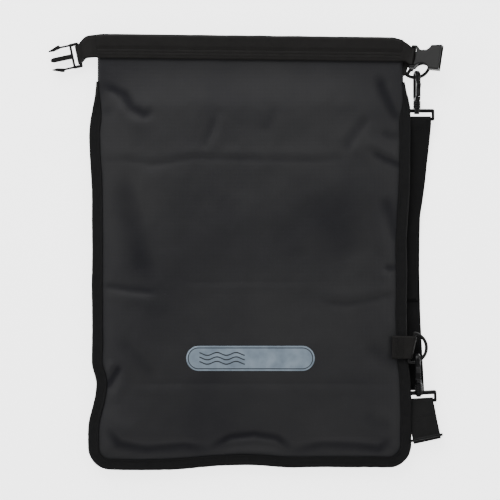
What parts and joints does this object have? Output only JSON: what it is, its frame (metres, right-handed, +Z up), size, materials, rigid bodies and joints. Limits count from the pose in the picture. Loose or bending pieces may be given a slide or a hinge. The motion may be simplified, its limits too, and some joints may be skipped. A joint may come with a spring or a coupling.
{
  "type": "roll-top dry bag",
  "caption": "Flat roll-top dry bag of coated fabric with a bound edge, webbing collar, side-release buckle, D-rings and a detachable webbing shoulder strap on swivel snap hooks.",
  "frame": {"origin": "middle of the flat back face, where the bag lies on the ground", "axes": "+X across the bag, +Y from the bottom hem to the mouth, +Z up out of the front"},
  "size_m": [0.4195, 0.4608, 0.0347],
  "materials": {
    "coated_fabric": "matt laminated tarpaulin with a faint scrim",
    "binding_tape": "woven polyester binding tape",
    "seam_film": "heat-sealed film",
    "reflective_film": "satin silver transfer film",
    "collar_webbing": "flat woven polypropylene webbing",
    "stiffener_sheet": "polyethylene strip",
    "strap_webbing": "ribbed woven polyester webbing",
    "buckle_plastic": "moulded acetal",
    "ring_plastic": "moulded nylon",
    "hook_plastic": "moulded acetal, polished"
  },
  "bodies": {
    "bag": {"front_panel": "coated_fabric", "back_panel": "coated_fabric", "edge_binding": "binding_tape", "seam_tape": "seam_film", "reflective_mark": "reflective_film", "top_ring_tab": "collar_webbing", "lower_ring_loop": "collar_webbing", "strap_upper_run": "strap_webbing", "strap_middle_run": "strap_webbing", "strap_lower_run": "strap_webbing", "strap_tucked_run": "strap_webbing", "strap_end_loop": "strap_webbing", "upper_hook_base": "hook_plastic", "lower_hook_base": "hook_plastic"},
    "collar": {"neck_front": "coated_fabric", "neck_back": "coated_fabric", "collar_stiffener": "stiffener_sheet", "collar_band_front": "collar_webbing", "collar_band_back": "collar_webbing"},
    "male_half": {"male_tab": "collar_webbing", "male_buckle": "buckle_plastic"},
    "lower_arm": {"buckle_arm_lower": "buckle_plastic"},
    "upper_arm": {"buckle_arm_upper": "buckle_plastic"},
    "female_half": {"female_tab": "collar_webbing", "female_buckle": "buckle_plastic"},
    "top_ring": {"top_ring": "ring_plastic"},
    "lower_ring": {"lower_ring": "ring_plastic"},
    "upper_hook": {"upper_hook": "hook_plastic"},
    "upper_gate": {"upper_hook_gate": "hook_plastic"},
    "lower_hook": {"lower_hook": "hook_plastic"},
    "lower_gate": {"lower_hook_gate": "hook_plastic"},
    "adjuster": {"adjuster": "hook_plastic"}
  },
  "joints": [
    {"name": "collar_fold", "type": "hinge", "parent": "bag", "child": "collar", "pos_m": [0, 0.187, 0.0134], "axis": [1, 0, 0], "range_deg": [0, 120]},
    {"name": "male_tab_flex", "type": "hinge", "parent": "collar", "child": "male_half", "pos_m": [-0.1613, 0.214, 0.0133], "axis": [0, -1, 0], "range_deg": [-35, 0]},
    {"name": "female_tab_flex", "type": "hinge", "parent": "collar", "child": "female_half", "pos_m": [0.1615, 0.212, 0.013], "axis": [0, 1, 0], "range_deg": [-35, 0]},
    {"name": "lower_arm_flex", "type": "hinge", "parent": "male_half", "child": "lower_arm", "pos_m": [-0.18835, 0.19607, 0.006], "axis": [0, 0, -1], "range_deg": [0, 9], "stiffness_Nm_per_rad": 0.02},
    {"name": "upper_arm_flex", "type": "hinge", "parent": "male_half", "child": "upper_arm", "pos_m": [-0.19326, 0.21915, 0.006], "axis": [0, 0, -1], "range_deg": [-9, 0], "stiffness_Nm_per_rad": 0.02},
    {"name": "top_ring_swing", "type": "hinge", "parent": "bag", "child": "top_ring", "pos_m": [0.175, 0.2009, 0.007], "axis": [0.5736, 0.8192, 0], "range_deg": [-1.2, 1.2]},
    {"name": "lower_ring_swing", "type": "hinge", "parent": "bag", "child": "lower_ring", "pos_m": [0.171, -0.1015, 0.0139], "axis": [0.2079, 0.9781, 0], "range_deg": [-1.2, 1.2]},
    {"name": "upper_hook_swivel", "type": "hinge", "parent": "bag", "child": "upper_hook", "pos_m": [0.1768, 0.1523, 0.007], "axis": [0, 1, 0], "range_deg": [-6, 6]},
    {"name": "lower_hook_swivel", "type": "hinge", "parent": "bag", "child": "lower_hook", "pos_m": [0.1789, -0.1476, 0.0073], "axis": [-0.0514, 0.9803, 0.1908], "range_deg": [-6, 6]},
    {"name": "upper_gate_swing", "type": "hinge", "parent": "upper_hook", "child": "upper_gate", "pos_m": [0.17799, 0.1669, 0.01144], "axis": [-0.9659, 0, 0.2588], "range_deg": [0, 20], "stiffness_Nm_per_rad": 0.02},
    {"name": "lower_gate_swing", "type": "hinge", "parent": "lower_hook", "child": "lower_gate", "pos_m": [0.1782, -0.13416, 0.0146], "axis": [-0.9986, -0.0523, 0], "range_deg": [0, 20], "stiffness_Nm_per_rad": 0.02},
    {"name": "adjuster_tilt", "type": "hinge", "parent": "bag", "child": "adjuster", "pos_m": [0.1872, -0.1975, 0.0082], "axis": [0.9792, 0.2028, 0], "range_deg": [-8, 8]}
  ],
  "couplings": [
    {"joint": "upper_arm_flex", "follows": "lower_arm_flex", "ratio": -1}
  ]
}
